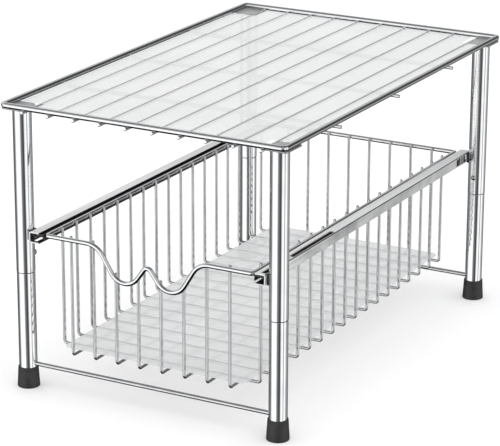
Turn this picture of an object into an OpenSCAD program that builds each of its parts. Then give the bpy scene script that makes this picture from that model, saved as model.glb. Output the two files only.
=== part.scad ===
// Pull-out cabinet basket: a chromed wire basket that slides on two channel rails
// under a wire shelf, which stands on four round two-piece posts with rubber feet.
// Millimetres, +Z up, the front faces -Y, origin on the ground at the centre.

/* [Shelf] */
// Width over the shelf's rim rod
frame_w = 319; // [270:1:420]
// Depth over the shelf's rim rod
frame_d = 501; // [420:1:560]
// Height of the top of the rim rod
frame_h = 301; // [270:0.5:360]
// Diameter of the rim rod
frame_rod_d = 6; // [5:0.25:8]
// Inside radius of the rim rod's corners
frame_bend_in = 0.75; // [0.5:0.25:6]
// Number of shelf wires from front to back
shelf_wire_count = 10; // [6:1:14]
// Diameter of the shelf wires and of their cross wires
shelf_wire_d = 3.5; // [2.5:0.25:4.5]
// How far a shelf wire stops short of the rim rod's outer face
shelf_wire_short = 0; // [0:0.25:2.5]
// Number of cross wires under the shelf wires
shelf_cross_count = 3; // [2:1:4]
// Spacing of the cross wires
shelf_cross_pitch = 130; // [90:1:135]
// Thickness of the plate that carries each corner of the shelf
plate_t = 1.5; // [1:0.25:3]
// How far a corner plate reaches past its post's axis, along the depth
plate_reach = 15.5; // [12:0.5:30]
// How far a plate's side edge stands inside the rim rod's outer face
plate_edge = 0.25; // [0:0.25:3]
// Corner radius of the plate's inner corner
plate_corner_r = 8; // [3:0.5:12]
// Thickness of the shelf's liner
shelf_liner_t = 1.5; // [1:0.25:3]
// How much rounder the liner's corners are than the rim rod's inside corners
shelf_liner_round = 2.25; // [0.5:0.25:10]
// Gap all round between the shelf's liner and the rim rod
liner_gap = 0.5; // [0.3:0.1:2]
// How far crossing wires are sunk into each other where they are welded
weld_sink = 0.1; // [0:0.02:0.14]

/* [Posts] */
// Distance from the rim's outer face to a post's axis, across the width
post_inset_x = 15.5; // [14:0.5:30]
// Distance from the rim's outer face to a post's axis, along the depth
post_inset_y = 18; // [13:0.5:30]
// Outside diameter of the upper tubes
post_d = 19; // [16:0.5:22]
// Wall of the upper tubes
post_wall = 1.2; // [1:0.1:2]
// How much smaller the lower tubes are, at the radius
lower_step = 0.2; // [0:0.05:0.4]
// Height of the joint between a lower and an upper tube
seam_h = 123; // [90:1:130]
// Length of the plug inside the joint
plug_len = 50; // [44:1:60]
// Wall of the plug
plug_wall = 1.5; // [1:0.1:2.5]
// Clearance of the plug in its tubes, at the radius
plug_fit = 0.05; // [0.02:0.01:0.15]
// Height of a post's lock screw above the joint
lock_lift = 19.5; // [10:0.5:21]
// How far the front left lock screw is turned from facing the post behind it, in degrees
lock_turn = 40; // [0:1:80]
// Diameter of the lock screws
lock_screw_d = 3; // [2.5:0.25:4]
// Head diameter of the lock screws
lock_head_d = 5.6; // [5:0.1:7]
// Head height of the lock screws
lock_head_h = 2.2; // [1.5:0.1:2.8]
// Clearance of a screw in its hole, at the radius
screw_fit = 0.1; // [0.05:0.05:0.3]

/* [Feet and bars] */
// Height of the rubber feet
foot_h = 21.5; // [15:0.5:30]
// Rubber under the end of the tube
foot_floor = 3; // [2:0.5:6]
// Wall of a foot at its top
foot_wall = 0.9; // [0.8:0.1:2]
// How much wider a foot is at its bottom, at the radius
foot_flare = 1.2; // [0:0.1:3]
// Clearance of a foot on its tube, at the radius
foot_fit = 0.1; // [0.05:0.05:0.3]
// Chamfer round the top and bottom of a foot
foot_chamfer = 0.6; // [0.3:0.1:0.8]
// Diameter of the front and back bottom bars
bar_d = 4.5; // [3:0.25:6]
// Gap between the feet and the bottom bars
bar_lift = 1.5; // [0.5:0.25:10]

/* [Rails] */
// Height of the underside of the rails
rail_z = 157.5; // [154:0.5:200]
// Height of the rail's section
rail_h = 11.4; // [10.4:0.2:14]
// Width of the rail's flanges
rail_depth = 11.4; // [11:0.2:14]
// Sheet thickness of the rails
rail_t = 1.2; // [0.8:0.1:1.5]
// Outer bend radius of the rail's section
rail_bend_r = 1.8; // [1.6:0.1:2.5]
// How far the rails reach in front of the front posts' axes
rail_front = 8.5; // [6:0.5:12]
// How far the rails reach behind the back posts' axes
rail_back = 3.5; // [3.5:0.5:12]
// Thinnest part of the saddle between a rail and a post
saddle_t = 0.9; // [0.6:0.1:2]
// Length of a saddle
saddle_len = 10; // [7:0.5:14]
// Diameter of the rail screws
rail_screw_d = 4; // [3:0.25:4.5]
// Head diameter of the rail screws
rail_head_d = 6.5; // [6:0.1:7.5]
// Head height of the rail screws
rail_head_h = 1.2; // [0.8:0.1:1.3]
// Width of the strip left beside the windows of the rail's flange
window_strip = 4.6; // [3:0.2:6]
// Distance from the front post's axis back to the long window
window_start = 51.5; // [40:0.5:70]
// Length of the long window
window_len = 89; // [40:1:120]
// Distance from the rail's front end to the short window
notch_start = 4; // [3:0.5:8]
// Length of the short window
notch_len = 37; // [10:1:40]
// Distance from the back post's axis forward to the opening in the web
web_gap_end = 5.1; // [5:0.1:8]
// Length of the opening in the web
web_gap_len = 27.4; // [24:0.2:40]
// Strip of web left above and below its opening
web_lip = 0.6; // [0.4:0.1:1.5]
// Gap between the stop block and the back edge of the web's opening
stop_back_gap = 4; // [1:0.5:8]
// Depth of the grooves in the stop block
groove_depth = 0.9; // [0.4:0.1:1.5]
// Width of the grooves in the stop block
groove_w = 1.4; // [0.8:0.1:2]
// Number of grooves in the stop block
groove_count = 4; // [2:1:5]

/* [Runners and rollers] */
// Sheet thickness of the runners
runner_t = 1; // [0.8:0.1:1.4]
// Height of the runner's web
runner_h = 7; // [5:0.2:8]
// Gap between the runner's flange and the rail's upper flange
runner_top_gap = 1.3; // [0.9:0.1:2]
// Gap between the runner's flange and the rail's web
runner_side_gap = 1.9; // [1.8:0.1:3]
// How far the runner's front end stands in front of the rim's front wire
runner_front = 1.5; // [0:0.25:4]
// Height of the tab at the runner's front end
runner_tab_h = 3; // [1.5:0.1:4]
// Gap between a closed runner and its stop block
stop_gap = 0.5; // [0.3:0.1:2]
// Distance from the runner's back end to its roller's axis
rear_roller_in = 9.5; // [6:0.5:14]
// Gap between the runner's flange and its roller
flange_gap = 1.9; // [1:0.1:4]
// Distance from the front post's axis back to the front roller's axis
front_roller_in = 11.5; // [9:0.5:20]
// Running gap above and below a roller
roller_gap = 0.3; // [0.3:0.05:0.5]
// Diameter of the roller pins
roller_pin_d = 2.4; // [2:0.1:2.6]
// Running clearance of a roller on its pin, at the radius
roller_fit = 0.2; // [0.15:0.05:0.3]
// Diameter of the roller pins' heads
pin_head_d = 4.4; // [4:0.1:5]
// Thickness of the roller pins' heads
pin_head_t = 0.6; // [0.4:0.1:0.8]
// End play of a roller beside its pin's head and beside its wall
end_play = 0.4; // [0.3:0.05:0.6]
// Diameter of the three dimples in each face of a roller
dimple_d = 0.9; // [0.6:0.1:1]
// Diameter of the locating rivet on each runner
rivet_d = 3; // [2:0.25:4]
// Height of the locating rivet's head
rivet_h = 0.6; // [0.4:0.1:0.6]
// Distance from the front post's axis back to the locating rivet
rivet_in = 74.5; // [60:0.5:120]

/* [Basket] */
// Diameter of the basket's rim wire
rim_d = 4.75; // [4:0.25:6]
// Gap between the rim wire and the rails' open edge
rim_gap = 3; // [2.4:0.1:6]
// Depth of the rim's centre below the top of the rails
rim_drop = 3.5; // [3:0.1:5]
// How far the rim's front wire stands in front of the front posts' axes
rim_front = 2.5; // [0:0.5:5]
// How far the rim's back wire stands behind the back posts' axes
rim_back = 1; // [-8:0.5:3]
// Inside radius of the rim's corners
rim_bend_in = 0.5; // [0.25:0.25:10]
// Length of the front wire's returns along the sides
return_len = 20; // [15:1:60]
// Distance from the rim's centre down to the lowest floor wires' centre
basket_depth = 123; // [100:0.5:124]
// Diameter of the basket's ribs and floor wires
rib_d = 3; // [2:0.25:4]
// Inside radius of the ribs' bends
rib_bend_in = 1.5; // [0.5:0.25:10]
// How far the ribs' ends stand above the rim
rib_proud = 0.9; // [0:0.1:1.5]
// Number of crosswise wires
cross_count = 17; // [9:1:19]
// Distance from the front rim wire to the first crosswise wire
cross_margin = 23.7; // [18:0.1:40]
// Distance from the last crosswise wire to the back rim wire
cross_back_margin = 27.2; // [18:0.1:40]
// Number of lengthwise wires
long_count = 8; // [6:2:10]
// Distance from a side rim wire to the outermost lengthwise wire
long_margin = 26.7; // [20:0.1:40]
// Thickness of the basket's liner
basket_liner_t = 1.4; // [1:0.2:3]
// Gap between the basket's liner and the front bends of the lengthwise wires
basket_liner_front_gap = 1.5; // [0.5:0.25:12]
// Gap between the basket's liner and the back bends of the lengthwise wires
basket_liner_back_gap = 4.75; // [0.5:0.25:12]
// Gap between the basket's liner and the bends of the crosswise wires
basket_liner_side_gap = 5.75; // [0.5:0.25:12]
// Corner radius of the basket's liner
basket_liner_r = 6; // [1:0.5:12]

/* [Front scallops] */
// Distance from the centre to each scoop's corner point
scoop_x = 27.5; // [24:0.5:32]
// Depth of the scoops' corner points below the rim
scoop_drop = 49.1; // [44:0.1:56]
// Bend radius at the bottom of a scoop
scoop_r = 18; // [12:0.5:19]
// Distance from the centre to the shoulders' corner points
shoulder_x = 57.6; // [52:0.1:66]
// Bend radius of the shoulders
shoulder_r = 21; // [10:0.5:24]
// Depth of the centre peak's corner point below the rim
peak_drop = 11.5; // [4:0.1:18]
// Bend radius of the centre peak
peak_r = 4.8; // [4:0.1:8]

/* [Hidden] */
$fn = 48;

FRONT = -1;
BACK = 1;
LEFT = -1;
RIGHT = 1;
CORNERS = [[LEFT, FRONT], [RIGHT, FRONT], [LEFT, BACK], [RIGHT, BACK]];
chrome = "#c9ccd0";
steel = "#b4b8bc";
black = "#1b1b1c";
frosted = "#eef1f2";

// Overlap of a wire's straight lengths and elbows, and the elbows' extra diameter
bend_lap = 0.2;
bend_swell = 0.02;

// Posts
post_x = frame_w / 2 - post_inset_x;
post_y = frame_d / 2 - post_inset_y;
post_r = post_d / 2;
lower_r = post_r - lower_step;
bore_r = post_r - post_wall;
plug_r = bore_r - plug_fit;

// Shelf, stacked down from the rim rod
rod_r = frame_rod_d / 2;
rod_x = frame_w / 2 - rod_r;
rod_y = frame_d / 2 - rod_r;
rod_z = frame_h - rod_r;
rod_bottom = frame_h - frame_rod_d;
frame_bend_r = rod_r + frame_bend_in;
plate_z = rod_bottom - plate_t;
shelf_wire_z = rod_bottom - shelf_wire_d / 2 + weld_sink;
shelf_cross_z = shelf_wire_z - shelf_wire_d + weld_sink;
outer_wire_x = post_x - post_r - shelf_wire_d / 2;
shelf_pitch = 2 * outer_wire_x / (shelf_wire_count - 1);

// Rails, written for the right side
web_x = post_x - post_r - saddle_t;
web_in = web_x - rail_t;
rail_in = web_x - rail_depth;
rail_top = rail_z + rail_h;
channel_z0 = rail_z + rail_t;
channel_z1 = rail_top - rail_t;
rail_mid = rail_z + rail_h / 2;
rail_y0 = -post_y - rail_front;
rail_y1 = post_y + rail_back;
web_gap_y1 = post_y - web_gap_end;
web_gap_y0 = web_gap_y1 - web_gap_len;
stop_y1 = web_gap_y1 - stop_back_gap;

// Basket rim and wires
rim_r = rim_d / 2;
rib_r = rib_d / 2;
rim_x = rail_in - rim_gap - rim_r;
rim_z = rail_top - rim_drop;
rim_y0 = -post_y - rim_front;
rim_y1 = post_y + rim_back;
rim_bend_r = rim_r + rim_bend_in;
rib_bend_r = rib_r + rib_bend_in;
rib_x = rim_x - rim_r - rib_r + weld_sink;
rib_y0 = rim_y0 + rim_r + rib_r - weld_sink;
rib_y1 = rim_y1 - rim_r - rib_r + weld_sink;
rib_top = rim_z + rim_r + rib_proud;
long_z = rim_z - basket_depth;
cross_z = long_z + rib_d - weld_sink;
cross_y0 = rim_y0 + cross_margin;
cross_pitch = (rim_y1 - rim_y0 - cross_margin - cross_back_margin) / (cross_count - 1);
long_x = rim_x - long_margin;
long_pitch = 2 * long_x / (long_count - 1);

// Runners and rollers, written for the right side
runner_x = rim_x + rim_r;
runner_out = web_in - runner_side_gap;
runner_top = channel_z1 - runner_top_gap;
runner_y0 = rim_y0 - runner_front;
stop_y0 = web_gap_y0;
runner_y1 = stop_y0 - stop_gap;
rear_roller_y = runner_y1 - rear_roller_in;
rear_roller_r = (channel_z1 - channel_z0) / 2 - roller_gap;
front_roller_y = -post_y + front_roller_in;
front_roller_r = (runner_top - runner_t - channel_z0) / 2 - roller_gap;
front_roller_z = channel_z0 + roller_gap + front_roller_r;
flange_y1 = rear_roller_y - rear_roller_r - flange_gap;
front_roller_x1 = web_in - end_play;
front_roller_x0 = rail_in + pin_head_t + 2 * end_play;
rear_roller_x0 = rail_in + end_play;
rear_roller_x1 = runner_out;

// Corner points of half the front wire in its own plane: distance from the
// centre and height, from the centre peak out to the shoulder
peak = [0, rim_z - peak_drop];
scoop = [scoop_x, rim_z - scoop_drop];
shoulder = [shoulder_x, rim_z];

// The first point where a rounded corner at b leaves the line to a
function tangent_point(a, b, c, r) =
    let (u = (a - b) / norm(a - b), v = (c - b) / norm(c - b))
    b + u * r / tan(acos(u * v) / 2);
// The centre of the rounded corner at b
function bend_centre(a, b, c, r) =
    let (u = (a - b) / norm(a - b), v = (c - b) / norm(c - b), w = (u + v) / norm(u + v))
    b + w * r / sin(acos(u * v) / 2);
// Height at x of the straight line through a and b
function line_z(a, b, x) = a[1] + (b[1] - a[1]) * (x - a[0]) / (b[0] - a[0]);

scoop_c = bend_centre(peak, scoop, shoulder, scoop_r);
scoop_in = tangent_point(peak, scoop, shoulder, scoop_r);
scoop_out = tangent_point(shoulder, scoop, peak, scoop_r);
far = [rim_x, rim_z];
shoulder_c = bend_centre(scoop, shoulder, far, shoulder_r);
shoulder_in = tangent_point(scoop, shoulder, far, shoulder_r);

// Height of the front wire's centre at x
function front_wire_z(x) =
    let (d = abs(x))
    d >= shoulder_c[0] ? rim_z :
    d >= shoulder_in[0] ? shoulder_c[1] + sqrt(shoulder_r ^ 2 - (d - shoulder_c[0]) ^ 2) :
    d >= scoop_out[0] ? line_z(scoop, shoulder, d) :
    d >= scoop_in[0] ? scoop_c[1] - sqrt(scoop_r ^ 2 - (d - scoop_c[0]) ^ 2) :
    line_z(peak, scoop, d);

// A straight round bar of diameter d from a to b
module rod(a, b, d) {
    v = b - a;
    translate(a)
        rotate([0, acos(v[2] / norm(v)), atan2(v[1], v[0])])
            cylinder(h = norm(v), d = d);
}

// The elbow of a wire of diameter d that turns from direction u to v round p
module elbow(p, u, v, r, d) {
    turn = acos(u * v);
    n = (v - u * (u * v)) / norm(v - u * (u * v));
    k = cross(-n, u);
    c = p - u * (r * tan(turn / 2)) + n * r;
    multmatrix([
        [-n[0], u[0], k[0], c[0]],
        [-n[1], u[1], k[1], c[1]],
        [-n[2], u[2], k[2], c[2]],
        [0, 0, 0, 1]
    ])
        rotate_extrude(angle = turn) translate([r, 0]) circle(d = d);
}

// A wire of diameter d through the corner points, bent to bends[i] at each inner one.
// Each straight length ends a little inside the elbow, which is a hair thicker.
module wire(points, bends, d) {
    last = len(points) - 1;
    dirs = [for (i = [0:last - 1]) (points[i + 1] - points[i]) / norm(points[i + 1] - points[i])];
    set_back = [for (i = [0:last])
        i == 0 || i == last ? 0 : bends[i - 1] * tan(acos(dirs[i - 1] * dirs[i]) / 2) - bend_lap];
    for (i = [0:last - 1])
        rod(points[i] + dirs[i] * set_back[i], points[i + 1] - dirs[i] * set_back[i + 1], d);
    for (i = [1:last - 1])
        elbow(points[i], dirs[i - 1], dirs[i], bends[i - 1], d + bend_swell);
}

// A flat sheet from (x0, y0) to (x1, y1) with its four corners rounded to r
module sheet(x0, y0, x1, y1, z, t, r) {
    translate([x0, y0 + r, z]) cube([x1 - x0, y1 - y0 - 2 * r, t]);
    translate([x0 + r, y0, z]) cube([x1 - x0 - 2 * r, y1 - y0, t]);
    for (x = [x0 + r, x1 - r], y = [y0 + r, y1 - r])
        translate([x, y, z]) cylinder(h = t, r = r);
}

// A box between two opposite corners
module block(a, b) {
    translate(a) cube(b - a);
}

// A round bar along X, from x0 to x1 at height z and depth y
module bar_x(x0, x1, y, z, r) {
    translate([x0, y, z]) rotate([0, 90, 0]) cylinder(h = x1 - x0, r = r);
}

// What is written for the right side, placed on the given side
module on_side(side) {
    mirror([side == LEFT ? 1 : 0, 0, 0]) children();
}

// What is written for the back right corner, placed at the given corner
module in_quarter(corner) {
    on_side(corner[0]) mirror([0, corner[1] == FRONT ? 1 : 0, 0]) children();
}

module at_post(corner) {
    translate([corner[0] * post_x, corner[1] * post_y, 0]) children();
}

// Rubber foot: a tapered cup with a flat floor under the tube
module foot(corner) {
    inner = lower_r + foot_fit;
    top = inner + foot_wall;
    base = top + foot_flare;
    color(black) at_post(corner)
        rotate_extrude()
            polygon([
                [0, 0], [base - foot_chamfer, 0], [base, foot_chamfer],
                [top, foot_h - foot_chamfer], [top - foot_chamfer, foot_h],
                [inner, foot_h], [inner, foot_floor], [0, foot_floor]
            ]);
}

// What is written along +Z, turned to point out of the post where its lock screw sits
module at_lock(corner) {
    translate([0, 0, seam_h + lock_lift])
        rotate([0, 0, corner == CORNERS[0] ? -lock_turn : 0]) rotate([corner[1] * 90, 0, 0]) children();
}

// A hole for the lock screw
module lock_hole(corner, len) {
    at_lock(corner) cylinder(h = len, d = lock_screw_d + 2 * screw_fit);
}

// A hole for the rail screw, on the side of the post that faces the rail
module rail_screw_hole(corner) {
    rotate([0, 0, corner[0] == LEFT ? 0 : 180])
        bar_x(0, post_d, 0, rail_mid, rail_screw_d / 2 + screw_fit);
}

module lower_post(corner) {
    color(chrome) at_post(corner) difference() {
        translate([0, 0, foot_floor]) cylinder(h = seam_h - foot_floor, r = lower_r);
        translate([0, 0, foot_floor - 1]) cylinder(h = seam_h - foot_floor + 2, r = bore_r);
    }
}

module upper_post(corner) {
    color(chrome) at_post(corner) difference() {
        translate([0, 0, seam_h]) cylinder(h = plate_z - seam_h, r = post_r);
        translate([0, 0, seam_h - 1]) cylinder(h = plate_z - seam_h + 2, r = bore_r);
        lock_hole(corner, post_d);
        rail_screw_hole(corner);
    }
}

// Sleeves that join the lower and upper tubes
module joint_plugs() {
    color(steel) for (corner = CORNERS) at_post(corner) difference() {
        translate([0, 0, seam_h - plug_len / 2]) cylinder(h = plug_len, r = plug_r);
        translate([0, 0, seam_h - plug_len / 2 - 1]) cylinder(h = plug_len + 2, r = plug_r - plug_wall);
        lock_hole(corner, post_d);
        rail_screw_hole(corner);
    }
}

// Dome-headed screws that lock the upper tubes to the plugs
module lock_screws() {
    dome_r = ((lock_head_d / 2) ^ 2 + lock_head_h ^ 2) / (2 * lock_head_h);
    color(chrome) for (corner = CORNERS) at_post(corner) at_lock(corner) {
        translate([0, 0, plug_r - plug_wall - 1])
            cylinder(h = post_r + 1 - (plug_r - plug_wall), d = lock_screw_d);
        intersection() {
            translate([0, 0, post_r + lock_head_h - dome_r]) sphere(r = dome_r);
            translate([0, 0, post_r]) cylinder(h = lock_head_h, d = lock_head_d + 1);
        }
    }
}

// A bar between two posts, its ends coped to their tubes
module bottom_bar(face) {
    z = foot_h + bar_lift + bar_d / 2;
    color(chrome) difference() {
        bar_x(-post_x, post_x, face * post_y, z, bar_d / 2);
        for (side = [LEFT, RIGHT])
            translate([side * post_x, face * post_y, z - bar_d]) cylinder(h = 2 * bar_d, r = lower_r);
    }
}

module shelf_rim() {
    corners = [for (c = [[-1, -1], [1, -1], [1, 1], [-1, 1]]) [c[0] * rod_x, c[1] * rod_y, rod_z]];
    start = [0, -rod_y, rod_z];
    color(chrome)
        wire(concat([start], [for (i = [1:4]) corners[i % 4]], [start]),
             [for (i = [1:4]) frame_bend_r], frame_rod_d);
}

module shelf_long_wires() {
    end = frame_d / 2 - shelf_wire_short;
    color(chrome) for (i = [0:shelf_wire_count - 1]) {
        x = -outer_wire_x + i * shelf_pitch;
        rod([x, -end, shelf_wire_z], [x, end, shelf_wire_z], shelf_wire_d);
    }
}

module shelf_cross_wires() {
    color(chrome) for (i = [0:shelf_cross_count - 1]) {
        y = (i - (shelf_cross_count - 1) / 2) * shelf_cross_pitch;
        rod([-rod_x, y, shelf_cross_z], [rod_x, y, shelf_cross_z], shelf_wire_d);
    }
}

module shelf_liner() {
    x = rod_x - rod_r - liner_gap;
    y = rod_y - rod_r - liner_gap;
    color(frosted, 0.6)
        sheet(-x, -y, x, y, shelf_wire_z + shelf_wire_d / 2, shelf_liner_t,
              frame_bend_in + shelf_liner_round);
}

// Plate on top of a post, under the corner of the rim rod and beside the outer shelf wire
module corner_plate(corner) {
    inner_x = outer_wire_x + shelf_wire_d / 2;
    inner_y = post_y - plate_reach;
    outer_x = frame_w / 2 - plate_edge;
    outer_y = rod_y;
    r = frame_bend_r;
    color(steel) in_quarter(corner) {
        block([inner_x + plate_corner_r, inner_y, plate_z], [outer_x, outer_y - r, rod_bottom]);
        block([inner_x, inner_y + plate_corner_r, plate_z], [outer_x - r, outer_y, rod_bottom]);
        translate([inner_x + plate_corner_r, inner_y + plate_corner_r, plate_z])
            cylinder(h = plate_t, r = plate_corner_r);
        translate([outer_x - r, outer_y - r, plate_z]) cylinder(h = plate_t, r = r);
    }
}

// A bar along Y with its two corners on the +X side rounded to r
module rounded_bar(x0, x1, y0, y1, z0, z1, r) {
    block([x0, y0, z0], [x1 - r, y1, z1]);
    block([x1 - r - 0.01, y0, z0 + r], [x1, y1, z1 - r]);
    for (z = [z0 + r, z1 - r])
        translate([x1 - r, y0, z]) rotate([-90, 0, 0]) cylinder(h = y1 - y0, r = r);
}

// Channel rail, open towards the basket.  One part serves both sides: turned over
// for the left side, it carries its windows in the lower flange.
module rail(side) {
    strip_x = rail_in + window_strip;
    long_y0 = -post_y + window_start;
    short_y0 = rail_y0 + notch_start;
    color(chrome) on_side(side)
        translate([0, 0, rail_mid]) mirror([0, 0, side == LEFT ? 1 : 0]) translate([0, 0, -rail_mid])
            difference() {
                rounded_bar(rail_in, web_x, rail_y0, rail_y1, rail_z, rail_top, rail_bend_r);
                rounded_bar(rail_in - 1, web_in, rail_y0 - 1, rail_y1 + 1, channel_z0, channel_z1,
                            rail_bend_r - rail_t);
                for (w = [[long_y0, window_len], [short_y0, notch_len]])
                    block([strip_x, w[0], rail_mid], [web_in, w[0] + w[1], rail_top + 1]);
                block([web_in - 1, web_gap_y0, channel_z0 + web_lip],
                      [web_x + 1, web_gap_y1, channel_z1 - web_lip]);
                for (y = [-post_y, post_y])
                    bar_x(web_in - 1, web_x + 1, y, rail_mid, rail_screw_d / 2 + screw_fit);
                bar_x(web_in - 1, web_x + 1, front_roller_y,
                      side == LEFT ? 2 * rail_mid - front_roller_z : front_roller_z,
                      roller_pin_d / 2);
            }
}

// Plastic saddles between the rails and the posts
module rail_saddles() {
    color(black) for (side = [LEFT, RIGHT], face = [FRONT, BACK]) on_side(side) difference() {
        block([web_x, face * post_y - saddle_len / 2, rail_z], [post_x, face * post_y + saddle_len / 2, rail_top]);
        translate([post_x, face * post_y, rail_z - 1]) cylinder(h = rail_h + 2, r = post_r);
        bar_x(web_x - 1, post_x, face * post_y, rail_mid, rail_screw_d / 2 + screw_fit);
    }
}

// Pan-headed screws from inside the rails into the posts
module rail_screws() {
    color(steel) for (side = [LEFT, RIGHT], face = [FRONT, BACK]) on_side(side) {
        bar_x(web_in - rail_head_h, web_in, face * post_y, rail_mid, rail_head_d / 2);
        bar_x(web_in, post_x - bore_r + 1, face * post_y, rail_mid, rail_screw_d / 2);
    }
}

// Ribbed plastic block that ends the basket's travel at the back
module stop_block(side) {
    x1 = web_x - 0.2;
    pitch = (stop_y1 - stop_y0) / groove_count;
    color(black) on_side(side) difference() {
        union() {
            block([rail_in + end_play, stop_y0, channel_z0 + rail_bend_r - rail_t],
                  [web_in, stop_y1, channel_z1 - rail_bend_r + rail_t]);
            block([rail_in + end_play, stop_y0, channel_z0],
                  [web_in - rail_bend_r, stop_y1, channel_z1]);
            block([web_in - 1, stop_y0, channel_z0 + web_lip], [x1, stop_y1, channel_z1 - web_lip]);
        }
        for (i = [0:groove_count - 1])
            block([x1 - groove_depth, stop_y0 + (i + 0.5) * pitch - groove_w / 2, rail_z],
                  [x1 + 1, stop_y0 + (i + 0.5) * pitch + groove_w / 2, rail_top]);
    }
}

// A roller along X with a bore for its pin and three dimples in each face
module roller(x0, x1, y, z, r) {
    bore = roller_pin_d / 2 + roller_fit;
    difference() {
        bar_x(x0, x1, y, z, r);
        bar_x(x0 - 1, x1 + 1, y, z, bore);
        for (a = [0, 120, 240], x = [x0, x1])
            translate([x, y, z]) rotate([a, 0, 0])
                bar_x(-0.5, 0.5, 0, (bore + r) / 2, dimple_d / 2);
    }
}

module front_roller(side) {
    color(black) on_side(side)
        roller(front_roller_x0, front_roller_x1, front_roller_y, front_roller_z, front_roller_r);
}

module rear_roller(side) {
    color(black) on_side(side)
        roller(rear_roller_x0, rear_roller_x1, rear_roller_y, rail_mid, rear_roller_r);
}

// Rivets that carry the front rollers on the rails
module front_roller_pins() {
    x = front_roller_x0 - end_play;
    color(steel) for (side = [LEFT, RIGHT]) on_side(side) {
        bar_x(x - pin_head_t, x, front_roller_y, front_roller_z, pin_head_d / 2);
        bar_x(x, web_x, front_roller_y, front_roller_z, roller_pin_d / 2);
    }
}

// Rivets that carry the rear rollers on the runners
module rear_roller_pins() {
    x = rear_roller_x1 + end_play;
    color(steel) for (side = [LEFT, RIGHT]) on_side(side) {
        bar_x(x, x + pin_head_t, rear_roller_y, rail_mid, pin_head_d / 2);
        bar_x(runner_x, x, rear_roller_y, rail_mid, roller_pin_d / 2);
    }
}

// Angle beside the rim wire, whose flange rides on the front roller
module runner(side) {
    color(chrome) on_side(side) difference() {
        union() {
            block([runner_x, runner_y0, runner_top - runner_h],
                  [runner_x + runner_t, runner_y1, runner_top]);
            block([runner_x, runner_y0, runner_top - runner_t], [runner_out, flange_y1, runner_top]);
            block([runner_x, runner_y0, runner_top - runner_tab_h],
                  [runner_out, runner_y0 + runner_t, runner_top]);
        }
        bar_x(runner_x - 1, runner_x + runner_t + 1, rear_roller_y, rail_mid, roller_pin_d / 2);
    }
}

// Locating rivets on the runners' flanges
module runner_rivets() {
    x = (rail_in + runner_out) / 2 - rivet_d / 2;
    color(chrome) for (side = [LEFT, RIGHT]) on_side(side)
        translate([x, -post_y + rivet_in, runner_top]) cylinder(h = rivet_h, d = rivet_d);
}

// Sides and back of the rim
module basket_rim() {
    y0 = rim_y0 + return_len;
    color(chrome) wire([
        [-rim_x, y0, rim_z], [-rim_x, rim_y1, rim_z], [rim_x, rim_y1, rim_z], [rim_x, y0, rim_z]
    ], [rim_bend_r, rim_bend_r], rim_d);
}

// Front of the rim, dipped in two scoops
module basket_front_wire() {
    half = [peak, scoop, shoulder];
    left = [for (i = [2:-1:1]) [-half[i][0], rim_y0, half[i][1]]];
    right = [for (i = [0:2]) [half[i][0], rim_y0, half[i][1]]];
    color(chrome) wire(concat(
        [[-rim_x, rim_y0 + return_len, rim_z], [-rim_x, rim_y0, rim_z]],
        left, right,
        [[rim_x, rim_y0, rim_z], [rim_x, rim_y0 + return_len, rim_z]]
    ), [rim_bend_r, shoulder_r, scoop_r, peak_r, scoop_r, shoulder_r, rim_bend_r], rim_d);
}

// Lengthwise wires: up behind the front wire, under the floor, up at the back
module basket_long_wires() {
    color(chrome) for (i = [0:long_count - 1]) {
        x = -long_x + i * long_pitch;
        wire([
            [x, rib_y0, front_wire_z(x) + rim_r + rib_proud],
            [x, rib_y0, long_z], [x, rib_y1, long_z], [x, rib_y1, rib_top]
        ], [rib_bend_r, rib_bend_r], rib_d);
    }
}

// Crosswise wires: down one side, across the floor, up the other
module basket_cross_wires() {
    color(chrome) for (i = [0:cross_count - 1]) {
        y = cross_y0 + i * cross_pitch;
        wire([
            [-rib_x, y, rib_top], [-rib_x, y, cross_z], [rib_x, y, cross_z], [rib_x, y, rib_top]
        ], [rib_bend_r, rib_bend_r], rib_d);
    }
}

module basket_liner() {
    x = rib_x - rib_bend_r - basket_liner_side_gap;
    color(frosted, 0.6)
        sheet(-x, rib_y0 + rib_bend_r + basket_liner_front_gap,
              x, rib_y1 - rib_bend_r - basket_liner_back_gap,
              cross_z + rib_r, basket_liner_t, basket_liner_r);
}

foot(CORNERS[0]);  // foot_front_left
foot(CORNERS[1]);  // foot_front_right
foot(CORNERS[2]);  // foot_back_left
foot(CORNERS[3]);  // foot_back_right
lower_post(CORNERS[0]);  // lower_post_front_left
lower_post(CORNERS[1]);  // lower_post_front_right
lower_post(CORNERS[2]);  // lower_post_back_left
lower_post(CORNERS[3]);  // lower_post_back_right
upper_post(CORNERS[0]);  // upper_post_front_left
upper_post(CORNERS[1]);  // upper_post_front_right
upper_post(CORNERS[2]);  // upper_post_back_left
upper_post(CORNERS[3]);  // upper_post_back_right
joint_plugs();
lock_screws();
bottom_bar(FRONT);  // bottom_bar_front
bottom_bar(BACK);  // bottom_bar_back
shelf_rim();
shelf_long_wires();
shelf_cross_wires();
shelf_liner();
corner_plate(CORNERS[0]);  // corner_plate_front_left
corner_plate(CORNERS[1]);  // corner_plate_front_right
corner_plate(CORNERS[2]);  // corner_plate_back_left
corner_plate(CORNERS[3]);  // corner_plate_back_right
rail(LEFT);  // rail_left
rail(RIGHT);  // rail_right
rail_saddles();
rail_screws();
stop_block(LEFT);  // stop_block_left
stop_block(RIGHT);  // stop_block_right
front_roller(LEFT);  // front_roller_left
front_roller(RIGHT);  // front_roller_right
front_roller_pins();
basket_rim();
basket_front_wire();
basket_long_wires();
basket_cross_wires();
basket_liner();
runner(LEFT);  // runner_left
runner(RIGHT);  // runner_right
runner_rivets();
rear_roller(LEFT);  // rear_roller_left
rear_roller(RIGHT);  // rear_roller_right
rear_roller_pins();
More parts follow.
